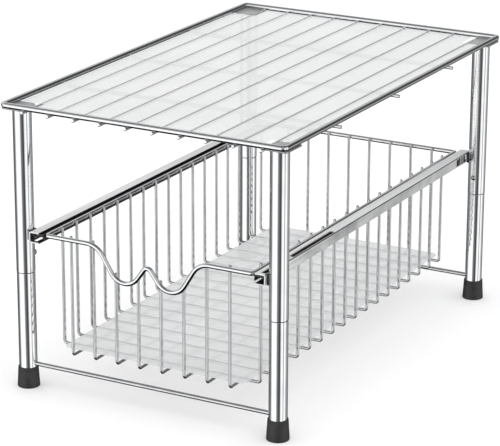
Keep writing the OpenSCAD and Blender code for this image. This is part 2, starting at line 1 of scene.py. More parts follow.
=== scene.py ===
"""Looks of a pull-out cabinet basket.

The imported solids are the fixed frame.  Wires, tubes, feet and screws are modelled again here with round
sections and worked ends, sheet parts get softened edges, and every surface gets its finish.
"""

import logging
import math
from collections.abc import Sequence
from dataclasses import dataclass, replace
from enum import Enum

import bpy
from mathutils import Matrix, Vector


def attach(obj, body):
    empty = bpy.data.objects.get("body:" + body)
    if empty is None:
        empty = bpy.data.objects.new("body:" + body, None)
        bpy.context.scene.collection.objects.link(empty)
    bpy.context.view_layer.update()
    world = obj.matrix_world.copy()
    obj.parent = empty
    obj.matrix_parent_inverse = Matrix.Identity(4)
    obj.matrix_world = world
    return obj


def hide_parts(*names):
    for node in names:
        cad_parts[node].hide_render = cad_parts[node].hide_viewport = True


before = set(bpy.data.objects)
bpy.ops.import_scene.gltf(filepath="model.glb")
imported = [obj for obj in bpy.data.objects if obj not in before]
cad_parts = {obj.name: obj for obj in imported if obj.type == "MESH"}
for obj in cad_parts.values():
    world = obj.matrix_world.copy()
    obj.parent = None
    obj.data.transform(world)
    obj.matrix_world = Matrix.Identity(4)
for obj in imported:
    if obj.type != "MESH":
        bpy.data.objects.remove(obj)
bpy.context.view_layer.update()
log = logging.getLogger("pull_out_basket")

MM = 0.001  # a millimetre, in metres
MERGE = 2e-6  # points closer than this are merged, in metres
FLAT = math.radians(0.5)  # faces that turn by less than this are merged
NOISE_RANGE = (0.3, 0.7)  # where nearly all of a noise's values lie
MIX_SHARE, MIX_FIRST, MIX_SECOND, MIX_RESULT = 0, 6, 7, 2  # sockets of a Mix node for colours
LINER_STEPS = 3  # facets across a liner's softened edge
NO_PLATES = (500.0, 500.0)  # a plate corner past the edges of any sheet, in millimetres
ORIGIN = Vector((0, 0, 0))
UP = Vector((0, 0, 1))

Point = Sequence[float]
Pair = tuple[float, float]
Triple = tuple[float, float, float]
Ring = Pair
Colour = Triple
Piece = bpy.types.Object
Material = bpy.types.Material
Node = bpy.types.Node
Socket = bpy.types.NodeSocket


class Way(Enum):
    """A direction across the basket, with its sign along that axis."""

    @property
    def word(self) -> str:
        """Its name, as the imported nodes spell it."""
        return self.name.lower()


class Side(Way):
    """A side of the basket, with the sign of its X."""

    LEFT = -1
    RIGHT = 1


class Face(Way):
    """The front or the back, with the sign of its Y."""

    FRONT = -1
    BACK = 1


def all_corners() -> list[tuple[Face, Side, str]]:
    """The four corners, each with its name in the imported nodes."""
    return [(face, side, f"{face.word}_{side.word}") for face in Face for side in Side]


class Tip(Enum):
    """How a wire ends, as rings from the end inwards: depth and width, in wire radii."""

    FLUSH = ((0.0, 1.0),)
    SHEARED = ((0.0, 0.72), (0.1, 0.93), (0.3, 1.0))
    ROUNDED = ((0.0, 0.3), (0.12, 0.52), (0.36, 0.78), (0.68, 0.95), (1.0, 1.0))


# ---- nodes and finishes


class NodeSketch:
    """Short-hand for adding and linking the nodes of one tree, a material's or the world's."""

    def __init__(self, tree: bpy.types.NodeTree) -> None:
        """Takes up the tree."""
        self.tree = tree

    def add(self, kind: str, **inputs: object) -> Node:
        """Adds a node and sets or links its inputs by name.

        Args:
            kind: The node's type name.
            inputs: Values or output sockets for its inputs, with spaces written as underscores.

        Returns:
            The new node.
        """
        return self.feed_all(self.tree.nodes.new(kind), **inputs)

    def feed_all(self, node: Node, **inputs: object) -> Node:
        """Sets or links a node's inputs by name.

        Args:
            node: The node.
            inputs: Values or output sockets for its inputs, named as for add.

        Returns:
            The node.
        """
        for key, value in inputs.items():
            self.feed(node.inputs[key.replace("_", " ")], value)
        return node

    def feed(self, socket: Socket, value: object) -> None:
        """Sets a socket to a value, or links an output to it.

        Args:
            socket: The input.
            value: The value or output socket.
        """
        if isinstance(value, Socket):
            self.tree.links.new(value, socket)
        else:
            socket.default_value = value

    def reckon(self, kind: str, *values: object) -> Socket:
        """Adds a math node.

        Args:
            kind: The node's operation.
            values: Values or output sockets for its inputs, in order.

        Returns:
            Its output.
        """
        node = self.tree.nodes.new("ShaderNodeMath")
        node.operation = kind
        for socket, value in zip(node.inputs, values):
            self.feed(socket, value)
        return node.outputs[0]

    def ramp(self, value: Socket, stops: Sequence[Ring]) -> Socket:
        """A grey ramp.

        Args:
            value: The place along the ramp, 0 to 1.
            stops: Place and level of each stop, the first at 0 and the last at 1.

        Returns:
            The level at that place.
        """
        node = self.add("ShaderNodeValToRGB", Fac=value)
        elements = node.color_ramp.elements
        for element, (place, level) in zip(elements, (stops[0], stops[-1])):
            element.position, element.color = place, (level, level, level, 1)
        for place, level in stops[1:-1]:
            elements.new(place).color = (level, level, level, 1)
        return node.outputs["Color"]


class FinishSketch(NodeSketch):
    """The nodes of a new material."""

    def __init__(self, name: str) -> None:
        """Adds the material.

        Args:
            name: The material's name.
        """
        self.material = bpy.data.materials.new(name)
        self.material.use_nodes = True
        super().__init__(self.material.node_tree)
        self.shader = self.tree.nodes["Principled BSDF"]
        self.coordinates = self.add("ShaderNodeTexCoord").outputs["Object"]

    def noise(self, scale: float, stretch: Triple = (1, 1, 1), detail: float = 3.0) -> Socket:
        """A noise on object coordinates.

        Args:
            scale: Features per metre.
            stretch: Factor on the coordinates; a small one draws the noise out along that axis.
            detail: Octaves of finer noise.

        Returns:
            The noise's value.
        """
        place = self.add("ShaderNodeMapping", Vector=self.coordinates, Scale=stretch)
        return self.add("ShaderNodeTexNoise", Vector=place.outputs["Vector"], Scale=scale,
                        Detail=detail).outputs["Fac"]

    def spread(self, value: Socket, low: float, high: float, over: Pair = NOISE_RANGE) -> Socket:
        """A value drawn out, or turned round, between two limits.

        Args:
            value: The value.
            low: What the lower end of its range becomes.
            high: What the upper end becomes.
            over: Its range.

        Returns:
            The remapped value.
        """
        return self.add("ShaderNodeMapRange", Value=value, From_Min=over[0], From_Max=over[1], To_Min=low,
                        To_Max=high).outputs["Result"]

    def blend(self, value: Socket, first: Colour, second: Colour) -> Socket:
        """A colour between two, by a noise.

        Args:
            value: The noise's value.
            first: The colour at the lower end of its range.
            second: The colour at the upper end.

        Returns:
            The mixed colour.
        """
        node = self.add("ShaderNodeMix")
        node.data_type = "RGBA"
        self.feed(node.inputs[MIX_SHARE], self.spread(value, 0, 1))
        self.feed(node.inputs[MIX_FIRST], (*first, 1))
        self.feed(node.inputs[MIX_SECOND], (*second, 1))
        return node.outputs[MIX_RESULT]

    def relief(self, height: Socket, depth: float, strength: float) -> None:
        """Raises the surface by a height value.

        Args:
            height: The height, 0 to 1.
            depth: What a height of 1 stands for, in metres.
            strength: The share of the bump that shows.
        """
        bump = self.add("ShaderNodeBump", Height=height, Distance=depth, Strength=strength)
        self.feed_all(self.shader, Normal=bump.outputs["Normal"])


@dataclass(frozen=True)
class Plated:
    """Plated steel: bright chrome with a faint ripple, or satin sheet with drawn streaks.

    The haze moves the colour from bright to dull and the roughness over polish.  Scales are features per metre, a
    small stretch draws both patterns out along its axis, and ripple is a height in metres.
    """

    name: str
    bright: Colour = (0.86, 0.87, 0.88)
    dull: Colour = (0.76, 0.77, 0.79)
    polish: Pair = (0.04, 0.12)
    metal: float = 1.0
    haze_scale: float = 60.0
    haze_detail: float = 4.0
    stretch: Triple = (1, 1, 1)
    ripple_scale: float = 400.0
    ripple_detail: float = 2.0
    ripple: float = 0.00002
    ripple_share: float = 0.5

    def material(self) -> Material:
        """Builds the material.

        Returns:
            The material.
        """
        sketch = FinishSketch(self.name)
        haze = sketch.noise(self.haze_scale, self.stretch, self.haze_detail)
        sketch.feed_all(sketch.shader, Metallic=self.metal, Base_Color=sketch.blend(haze, self.bright, self.dull),
                        Roughness=sketch.spread(haze, *self.polish))
        waves = sketch.noise(self.ripple_scale, self.stretch, self.ripple_detail)
        sketch.relief(waves, self.ripple, self.ripple_share)
        return sketch.material


@dataclass(frozen=True)
class Frosted:
    """Translucent plastic sheet with a fine frosted grain, clearest where it touches wires or plates.

    The wires' places and the plates' corner are in millimetres.  The wires lie across the named axis, touch says
    how far from a wire's middle the contact begins to fade and ends, and frost is the range of roughness.  The
    sheet's upper skin has one alpha; its underside has one in the open and one where it touches.
    """

    name: str
    across: str
    first_wire: float
    pitch: float
    mid_height: float
    skin_alpha: float
    open_alpha: float
    touch_alpha: float
    plate_corner: Pair = NO_PLATES
    touch: Pair = (1.2, 2.0)
    clear: Colour = (0.73, 0.735, 0.74)
    cloudy: Colour = (0.69, 0.695, 0.7)
    cloud_scale: float = 14.0
    cloud_detail: float = 5.0
    frost: Pair = (0.6, 0.78)
    grain_scale: float = 1800.0
    grain_detail: float = 2.0
    grain: float = 0.00005
    grain_share: float = 0.4
    sheen: float = 0.2
    refraction: float = 1.45

    def contact(self, sketch: FinishSketch) -> Socket:
        """How closely the sheet lies on metal.

        Args:
            sketch: The material under way.

        Returns:
            1 over a wire or a plate, 0 elsewhere.
        """
        place = sketch.add("ShaderNodeSeparateXYZ", Vector=sketch.coordinates).outputs
        offset = sketch.reckon("SUBTRACT", place[self.across], self.first_wire * MM)
        gap = sketch.reckon("PINGPONG", offset, self.pitch / 2 * MM)
        wires = sketch.spread(gap, 1, 0, (self.touch[0] * MM, self.touch[1] * MM))
        corner = [sketch.reckon("GREATER_THAN", sketch.reckon("ABSOLUTE", place[axis]), edge * MM)
                  for axis, edge in zip("XY", self.plate_corner)]
        return sketch.reckon("MAXIMUM", wires, sketch.reckon("MULTIPLY", *corner))

    def material(self) -> Material:
        """Builds the material.

        Returns:
            The material.
        """
        sketch = FinishSketch(self.name)
        cloud = sketch.noise(self.cloud_scale, detail=self.cloud_detail)
        grain = sketch.noise(self.grain_scale, detail=self.grain_detail)
        height = sketch.add("ShaderNodeSeparateXYZ", Vector=sketch.coordinates).outputs["Z"]
        underside = sketch.reckon("LESS_THAN", height, self.mid_height * MM)
        backing = sketch.reckon("MULTIPLY_ADD", self.contact(sketch), self.touch_alpha - self.open_alpha,
                                self.open_alpha - self.skin_alpha)
        sketch.feed_all(sketch.shader, Base_Color=sketch.blend(cloud, self.clear, self.cloudy),
                        Alpha=sketch.reckon("MULTIPLY_ADD", underside, backing, self.skin_alpha),
                        Roughness=sketch.spread(grain, *self.frost), Specular_IOR_Level=self.sheen,
                        IOR=self.refraction)
        sketch.relief(grain, self.grain, self.grain_share)
        return sketch.material


@dataclass(frozen=True)
class Moulded:
    """Black rubber or plastic from a mould, with a fine grain and dusty or rubbed patches.

    Scales are features per metre, sheen_range is the range of roughness, and grain is a height in metres.
    """

    name: str
    dark: Colour = (0.012, 0.012, 0.013)
    dusty: Colour = (0.035, 0.035, 0.037)
    patch_scale: float = 90.0
    patch_detail: float = 4.0
    sheen_range: Pair = (0.42, 0.62)
    grain_scale: float = 1200.0
    grain: float = 0.00006
    grain_share: float = 0.5

    def material(self) -> Material:
        """Builds the material.

        Returns:
            The material.
        """
        sketch = FinishSketch(self.name)
        patch = sketch.noise(self.patch_scale, detail=self.patch_detail)
        sketch.feed_all(sketch.shader, Base_Color=sketch.blend(patch, self.dark, self.dusty),
                        Roughness=sketch.spread(patch, *self.sheen_range))
        sketch.relief(sketch.noise(self.grain_scale), self.grain, self.grain_share)
        return sketch.material


class Finishes:
    """Every finish of the basket, built once."""

    def __init__(self) -> None:
        """Builds the materials."""
        self.post = Plated("post_chrome", polish=(0.03, 0.07), haze_scale=40, ripple=0.000006).material()
        self.shelf_wire = Plated("shelf_wire_chrome", polish=(0.05, 0.13), stretch=(1, 0.1, 1)).material()
        # Painted shade: a darker copy of the wire chrome for the basket's ribs and the foot bars, next to the
        # brighter rim chrome.
        self.basket_wire = Plated("basket_wire_chrome", bright=(0.7, 0.71, 0.72), dull=(0.58, 0.59, 0.61),
                                  polish=(0.03, 0.08)).material()
        # Painted shade: the plates are darkened so that the gaps at the shelf's corners read dark.
        self.plate = Plated("plate_plating", bright=(0.46, 0.465, 0.47), dull=(0.38, 0.385, 0.39),
                            polish=(0.42, 0.55), metal=0.8).material()
        self.screw = Plated("screw_plating", bright=(0.52, 0.53, 0.55), dull=(0.4, 0.41, 0.43),
                            haze_scale=300).material()
        self.zinc = Plated("zinc_plating", bright=(0.68, 0.69, 0.71), dull=(0.52, 0.53, 0.56),
                           polish=(0.25, 0.42), haze_scale=200).material()

        rail = Plated("rail_plating", bright=(0.84, 0.845, 0.85), dull=(0.74, 0.745, 0.755), polish=(0.3, 0.5),
                      metal=0.35, haze_scale=90, stretch=(1, 0.04, 1), ripple_scale=700, ripple=0.00003)
        self.rail = rail.material()
        # Painted shade: dark patches on the rail's outward wall.
        self.wall_shade = replace(rail, name="rail_wall_painted_shade", dull=(0.28, 0.285, 0.29), haze_scale=20,
                                 stretch=(1, 0.8, 1)).material()
        # Painted shade: a near-black copy of the rail plating for the channel's inner faces and the crease of the
        # fold, where shade falls.
        self.channel_shade = replace(rail, name="painted_channel_shade", bright=(0.07, 0.07, 0.072),
                                   dull=(0.03, 0.03, 0.032), polish=(0.3, 0.45), metal=0.6).material()
        # The runners are dark all over.
        self.runner = replace(rail, name="dark_runner_plating", bright=(0.06, 0.06, 0.062), dull=(0.03, 0.03, 0.032),
                              polish=(0.22, 0.36), metal=0.7, stretch=(1, 0.05, 1)).material()

        self.shelf_liner = Frosted("shelf_liner_frost", across="X", first_wire=-131.95, pitch=29.5,
                                   mid_height=295.85, skin_alpha=0.2, open_alpha=0.87, touch_alpha=0.02,
                                   plate_corner=(127.5, 217.0)).material()
        # Painted light: the basket liner's clear and cloudy tones are lighter than the shelf liner's, making up for
        # the shade under the shelf.
        self.basket_liner = Frosted("basket_liner_frost", across="Y", first_wire=-212.7, pitch=26.1,
                                    mid_height=47.5, skin_alpha=0.35, open_alpha=0.84, touch_alpha=0.4,
                                    touch=(1.1, 1.9), clear=(0.78, 0.785, 0.79),
                                    cloudy=(0.74, 0.745, 0.75)).material()

        plastic = Moulded("black_plastic", sheen_range=(0.3, 0.48), grain_scale=2000, grain=0.00003)
        self.plastic = plastic.material()
        # Painted highlight: a lighter copy of the black plastic for the outer faces of the stop blocks' ribs.
        self.rib = replace(plastic, name="rubbed_plastic", dark=(0.2, 0.2, 0.203), dusty=(0.34, 0.34, 0.345),
                           sheen_range=(0.2, 0.35)).material()
        self.rubber = Moulded("foot_rubber").material()


# ---- the bench


def only(*objects: Piece) -> None:
    """Selects these objects alone, in object mode, with the last one active.

    Args:
        objects: What to select, or nothing.
    """
    if bpy.context.object is not None and bpy.context.object.mode != "OBJECT":
        bpy.ops.object.mode_set(mode="OBJECT")
    bpy.ops.object.select_all(action="DESELECT")
    for obj in objects:
        obj.select_set(True)
    if objects:
        bpy.context.view_layer.objects.active = objects[-1]


def copied(obj: Piece, name: str, move: Matrix) -> Piece:
    """A copy of a piece with a mesh of its own, moved by a matrix.

    Args:
        obj: The piece to copy.
        name: The copy's name.
        move: Where the copy goes, relative to the piece.

    Returns:
        The copy, with its place in its mesh.
    """
    twin = obj.copy()
    twin.data = obj.data.copy()
    twin.name = twin.data.name = name
    bpy.context.scene.collection.objects.link(twin)
    twin.data.transform(move)
    if move.determinant() < 0:
        twin.data.flip_normals()
    return twin


def joined(name: str, parts: Sequence[Piece]) -> Piece:
    """Parts of one kind made one piece.

    Args:
        name: The piece's name.
        parts: What goes into it.

    Returns:
        The piece.
    """
    only(*parts)
    bpy.ops.object.join()
    piece = bpy.context.object
    piece.name = piece.data.name = name
    return piece


def repeated(name: str, first: Piece, shifts: Sequence[Point]) -> Piece:
    """Makes a piece and its copies, each shifted by some millimetres, one piece."""
    others = [copied(first, f"{first.name}_{i}", Matrix.Translation(Vector(shift) * MM))
              for i, shift in enumerate(shifts, 1)]
    return joined(name, [*others, first])


def start_ring(name: str, centre: Vector, axis: Vector, radius: float, sides: int) -> Piece:
    """Starts a swept piece with its first ring, which it leaves selected in edit mode.

    Args:
        name: The piece's name.
        centre: The ring's centre, in metres.
        axis: The way the sweep sets out.
        radius: The ring's radius, in metres.
        sides: Facets round the axis.

    Returns:
        The piece.
    """
    only()
    bpy.ops.mesh.primitive_circle_add(vertices=sides, radius=radius, fill_type="NOTHING", location=centre,
                                      rotation=axis.to_track_quat("Z", "Y").to_euler())
    piece = bpy.context.object
    piece.name = piece.data.name = name
    bpy.ops.object.transform_apply(location=True, rotation=True, scale=True)
    bpy.ops.object.mode_set(mode="EDIT")
    bpy.ops.mesh.select_mode(type="VERT")
    bpy.ops.mesh.select_all(action="SELECT")
    return piece


def end_sweep(loop: bool) -> None:
    """Ends a swept piece: merges its last ring with its first, or caps both ends, and turns its faces outwards.

    Args:
        loop: Whether the last ring lies on the first.
    """
    if loop:
        bpy.ops.mesh.select_all(action="SELECT")
        bpy.ops.mesh.remove_doubles(threshold=MERGE)
    else:
        bpy.ops.mesh.edge_face_add()
        bpy.ops.mesh.select_all(action="DESELECT")
        bpy.ops.mesh.select_non_manifold()
        bpy.ops.mesh.edge_face_add()
    bpy.ops.mesh.select_all(action="SELECT")
    bpy.ops.mesh.normals_make_consistent(inside=False)
    bpy.ops.object.mode_set(mode="OBJECT")


def stacked(name: str, foot_point: Vector, axis: Vector, rings: Sequence[Ring], sides: int,
            loop: bool = False) -> Piece:
    """A turned piece, built up ring by ring along an axis.

    Args:
        name: The piece's name.
        foot_point: Where the axis starts, in metres.
        axis: The axis' direction.
        rings: Distance along the axis and radius of each ring, in millimetres.
        sides: Facets round the axis.
        loop: Whether the last ring closes onto the first, as in a tube with a wall.

    Returns:
        The piece, with its place in its mesh.
    """
    place, width = rings[0]
    piece = start_ring(name, foot_point + axis * place * MM, axis, width * MM, sides)
    for next_place, next_width in rings[1:]:
        bpy.ops.mesh.extrude_region_move(
            TRANSFORM_OT_translate={"value": axis * (next_place - place) * MM})
        if next_width != width:
            bpy.ops.transform.resize(value=(next_width / width,) * 3,
                                     center_override=foot_point + axis * next_place * MM)
        place, width = next_place, next_width
    end_sweep(loop)
    return piece


def rounded_corner(before: Vector, corner: Vector, after: Vector, radius: float) -> tuple[Vector, Vector, Vector]:
    """The arc that rounds a corner in a plane.

    Args:
        before: The corner point before it.
        corner: The corner.
        after: The corner point after it.
        radius: The arc's radius.

    Returns:
        The arc's centre, its end towards before and its end towards after.
    """
    back, onward = (before - corner).normalized(), (after - corner).normalized()
    half = back.angle(onward) / 2
    set_back = radius / math.tan(half)
    centre = corner + (back + onward).normalized() * (radius / math.sin(half))
    return centre, corner + back * set_back, corner + onward * set_back


def softened(node: str, name: str, edge: float, steps: int = 2, least_angle: float = 35.0) -> Piece:
    """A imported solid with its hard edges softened.

    Args:
        node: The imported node.
        name: The new piece's name.
        edge: Width of the softening, in millimetres.
        steps: Facets across a softened edge.
        least_angle: Edges that turn by less than this are left, in degrees.

    Returns:
        The new piece.
    """
    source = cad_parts[node]
    piece = bpy.data.objects.new(name, source.data.copy())
    piece.data.name = name
    bpy.context.scene.collection.objects.link(piece)
    only(piece)
    bpy.ops.object.mode_set(mode="EDIT")
    bpy.ops.mesh.select_all(action="SELECT")
    bpy.ops.mesh.remove_doubles(threshold=MERGE)
    bpy.ops.mesh.dissolve_limited(angle_limit=FLAT)
    bpy.ops.object.mode_set(mode="OBJECT")
    bevel = piece.modifiers.new("soft_edges", "BEVEL")
    bevel.width, bevel.segments = edge * MM, steps
    bevel.limit_method, bevel.angle_limit = "ANGLE", math.radians(least_angle)
    bevel.miter_outer = "MITER_ARC"
    bpy.ops.object.modifier_apply(modifier=bevel.name)
    return piece


def fit(piece: Piece, body: str, material: Material, slot: str, *nodes: str, smooth_angle: float = 40.0) -> Piece:
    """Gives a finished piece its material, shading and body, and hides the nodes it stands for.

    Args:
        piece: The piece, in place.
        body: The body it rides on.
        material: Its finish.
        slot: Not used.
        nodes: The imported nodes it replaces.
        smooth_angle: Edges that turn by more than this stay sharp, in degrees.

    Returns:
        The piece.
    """
    piece.data.materials.clear()
    piece.data.materials.append(material)
    only(piece)
    bpy.ops.object.shade_smooth_by_angle(angle=math.radians(smooth_angle), keep_sharp_edges=False)
    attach(piece, body)
    if nodes:
        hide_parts(*nodes)
    log.info("%s: %d faces on %s, for %s", piece.name, len(piece.data.polygons), body, ", ".join(nodes) or "itself")
    return piece


def lets_light_through(sheet: Piece) -> None:
    """Lets light pass a thin translucent sheet to what lies under it."""
    sheet.visible_glossy = sheet.visible_shadow = sheet.visible_diffuse = False


@dataclass(frozen=True)
class RoundWire:
    """Round wire, bent on a jig into straight lengths and arcs.

    The diameter is in millimetres and arc_step in degrees; guard is how far from each end of a straight its extra
    ring stands, in diameters.
    """

    diameter: float
    sides: int = 18
    arc_step: float = 12.0
    tip: Tip = Tip.SHEARED
    guard: float = 0.35

    def bend(self, name: str, corners: Sequence[Point], bends: Sequence[float], closed: bool = False) -> Piece:
        """Bends a wire along its corner points.

        Args:
            name: The wire's name.
            corners: Its corner points, in millimetres.
            bends: Bend radius at each inner corner, to the centre line.
            closed: Whether it ends where it starts, as a loop.

        Returns:
            The wire, with its place in its mesh.
        """
        radius = self.diameter / 2 * MM
        path = [Vector(corner) * MM for corner in corners]
        heading = (path[1] - path[0]).normalized()
        rings = (Tip.FLUSH if closed else self.tip).value
        here = path[0] + heading * rings[0][0] * radius
        wire = start_ring(name, here, heading, radius * rings[0][1], self.sides)
        here = self._draw_tip(here, heading, rings, radius, +1)
        for corner, after, bend_radius in zip(path[1:-1], path[2:], bends):
            onward = (after - corner).normalized()
            turn = heading.angle(onward)
            set_back = bend_radius * MM * math.tan(turn / 2)
            here = self._draw_to(here, corner - heading * set_back)
            inward = (onward - heading * heading.dot(onward)).normalized()
            bpy.ops.mesh.spin(steps=max(2, round(math.degrees(turn) / self.arc_step)), angle=turn,
                              center=here + inward * bend_radius * MM, axis=onward.cross(heading).normalized(),
                              use_auto_merge=False)
            here, heading = corner + onward * set_back, onward
        end = path[-1] - heading * rings[-1][0] * radius
        self._draw_to(here, end)
        if not closed:
            self._draw_tip(end, heading, rings[::-1], radius, -1)
        end_sweep(closed)
        return wire

    def _draw_to(self, here: Vector, there: Vector) -> Vector:
        """Draws the open ring on to a point, with a ring near each end that keeps the shading straight.

        Args:
            here: The ring's centre.
            there: Where it goes.

        Returns:
            The new centre.
        """
        way = there - here
        guard = way.normalized() * self.diameter * self.guard * MM
        steps = [guard, way - 2 * guard, guard] if way.length > 4 * guard.length else [way]
        for step in steps:
            bpy.ops.mesh.extrude_region_move(TRANSFORM_OT_translate={"value": step})
        return there

    def _draw_tip(self, here: Vector, heading: Vector, rings: Sequence[Ring], radius: float, sense: int) -> Vector:
        """Draws the open ring through the rings of a tip.

        Args:
            here: The ring's centre.
            heading: The wire's direction.
            rings: The tip's rings, the first of which is there already.
            radius: The wire's radius in metres.
            sense: +1 where the wire starts, -1 where it ends.

        Returns:
            The last ring's centre.
        """
        for (depth, width), (next_depth, next_width) in zip(rings, rings[1:]):
            step = heading * (next_depth - depth) * sense * radius
            bpy.ops.mesh.extrude_region_move(TRANSFORM_OT_translate={"value": step})
            here = here + step
            bpy.ops.transform.resize(value=(next_width / width,) * 3, center_override=here)
        return here


# ---- stand


@dataclass
class Posts:
    """Four two-piece tubes with rubber feet, lock screws and the two bottom bars.

    Profiles are pairs: rolled_edge has distance from the seam and share of the roll, foot_mouth depth and flare,
    foot_lip drop and inset from the top, foot_tread height and inset from the base, foot_boss height and radius.
    """

    axis_x: float = 144.0
    axis_y: float = 232.5
    upper_r: float = 9.5
    lower_r: float = 9.3
    upper_wall: float = 1.2
    lower_wall: float = 1.0
    tube_foot: float = 3.0
    seam: float = 123.0
    top: float = 293.5
    tube_sides: int = 72
    roll: float = 0.8
    rolled_edge: tuple[Ring, ...] = ((0.12, 1.0), (0.2, 0.45), (0.36, 0.12), (0.65, 0.0), (1.3, 0.0))
    foot_height: float = 21.5
    foot_bore: float = 9.4
    foot_top_r: float = 10.3
    foot_base_r: float = 11.5
    foot_core_r: float = 0.4
    foot_mouth: Ring = (0.3, 0.2)
    foot_lip: tuple[Ring, ...] = ((0.0, 0.3), (0.12, 0.08), (0.4, 0.0))
    groove: Pair = (2.75, 2.0)
    groove_flank: float = 0.15
    groove_depth: float = 0.22
    taper_rings: Pair = (3.4, 2.2)
    foot_tread: tuple[Ring, ...] = ((1.2, 0.0), (0.5, 0.08), (0.15, 0.3), (0.0, 0.8), (0.0, 2.6), (0.5, 2.9))
    foot_boss: tuple[Ring, ...] = ((0.5, 5.0), (0.0, 4.7))
    foot_sides: int = 48
    foot_smooth: float = 30.0
    screw_rise: float = 142.5
    screw_head: float = 2.8
    screw_dome: float = 2.2
    screw_root: float = 1.2
    screw_seat: float = 0.25
    screw_neck_r: float = 1.6
    screw_crown_r: float = 0.08
    screw_sides: int = 28
    dome_steps: int = 7
    front_left_turn: float = 40.0
    bar: RoundWire = RoundWire(4.5, sides=24, tip=Tip.FLUSH)
    bar_rise: float = 25.25
    bar_bite: float = 0.6

    def build(self, finishes: Finishes) -> None:
        """Makes a tube pair, foot and screw once and copies them to the corners.

        Args:
            finishes: Where the finishes come from.
        """
        upper, lower, foot, screw = self.upper_tube(), self.lower_tube(), self.foot(), self.screw()
        screws = []
        for face, side, corner in all_corners():
            move = Matrix.Translation((side.value * self.axis_x * MM, face.value * self.axis_y * MM, 0))
            fit(copied(upper, f"{corner}_upper_tube", move), "frame", finishes.post, "post_chrome",
                f"upper_post_{corner}")
            fit(copied(lower, f"{corner}_lower_tube", move), "frame", finishes.post, "post_chrome",
                f"lower_post_{corner}")
            fit(copied(foot, f"{corner}_rubber_foot", move), "frame", finishes.rubber, "foot_rubber",
                f"foot_{corner}", smooth_angle=self.foot_smooth)
            turn = -face.value * 90.0
            if (face, side) == (Face.FRONT, Side.LEFT):
                turn -= self.front_left_turn
            screws.append(copied(screw, f"{corner}_lock_screw",
                                 move @ Matrix.Rotation(math.radians(turn), 4, "Z")))
        fit(joined("dome_lock_screws", screws), "frame", finishes.screw, "screw_chrome", "lock_screws")
        reach = self.axis_x - self.lower_r + self.bar_bite
        for face in Face:
            ends = [(side.value * reach, face.value * self.axis_y, self.bar_rise) for side in Side]
            bar = self.bar.bend(f"{face.word}_foot_bar", ends, [])
            fit(bar, "frame", finishes.basket_wire, "wire_chrome", f"bottom_bar_{face.word}")
        for spare in (upper, lower, foot, screw):
            bpy.data.objects.remove(spare)

    def upper_tube(self) -> Piece:
        """The upper tube on the axis, its lower edge rolled in.

        Returns:
            The tube.
        """
        inner = self.upper_r - self.upper_wall
        edge = [(self.seam + rise, self.upper_r - self.roll * share) for rise, share in self.rolled_edge]
        rings = [(edge[0][0], inner), *edge, (self.top, self.upper_r), (self.top, inner), (edge[0][0], inner)]
        return stacked("upper_tube", ORIGIN, UP, rings, self.tube_sides, loop=True)

    def lower_tube(self) -> Piece:
        """The lower tube on the axis, its upper edge rolled in.

        Returns:
            The tube.
        """
        inner, start = self.lower_r - self.lower_wall, self.tube_foot
        edge = [(self.seam - drop, self.lower_r - self.roll * share) for drop, share in self.rolled_edge[::-1]]
        rings = [(start, inner), (start, self.lower_r), *edge, (edge[-1][0], inner), (start, inner)]
        return stacked("lower_tube", ORIGIN, UP, rings, self.tube_sides, loop=True)

    def foot(self) -> Piece:
        """A tapered rubber cup with a rounded lip, a groove under it and a softened tread.

        Returns:
            The foot.
        """
        height, bore, top, base = self.foot_height, self.foot_bore, self.foot_top_r, self.foot_base_r

        def skin(z: float) -> Ring:
            """The ring of the tapered side at a height."""
            return z, base + (top - base) * (z - 1) / (height - 1)

        mouth_depth, mouth_flare = self.foot_mouth
        groove_low, groove_high = (height - drop for drop in self.groove)
        groove_r = skin(groove_high)[1] - self.groove_depth
        rings = [(self.tube_foot, self.foot_core_r), (self.tube_foot, bore), (height - mouth_depth, bore),
                 (height, bore + mouth_flare), *((height - drop, top - inset) for drop, inset in self.foot_lip),
                 skin(groove_high), (groove_high - self.groove_flank, groove_r),
                 (groove_low + self.groove_flank, groove_r), skin(groove_low), *map(skin, self.taper_rings),
                 *((z, base - inset) for z, inset in self.foot_tread), *self.foot_boss, (0.0, self.foot_core_r)]
        return stacked("rubber_foot", ORIGIN, UP, rings, self.foot_sides)

    def screw(self) -> Piece:
        """A lock screw's dome head, pointing along +X from the post's wall.

        Returns:
            The screw.
        """
        r, rise, crown = self.screw_head, self.screw_dome, self.upper_r + self.screw_dome
        sphere = (r * r + rise * rise) / (2 * rise)
        dome = [(crown - sphere + sphere * math.cos(angle), sphere * math.sin(angle))
                for angle in (math.asin(r / sphere) * k / self.dome_steps for k in range(self.dome_steps, 0, -1))]
        seat = self.upper_r - self.screw_seat
        rings = [(self.upper_r - self.screw_root, self.screw_neck_r), (seat, self.screw_neck_r), (seat, r), *dome,
                 (crown, self.screw_crown_r)]
        return stacked("lock_screw", UP * self.screw_rise * MM, Vector((1, 0, 0)), rings, self.screw_sides)


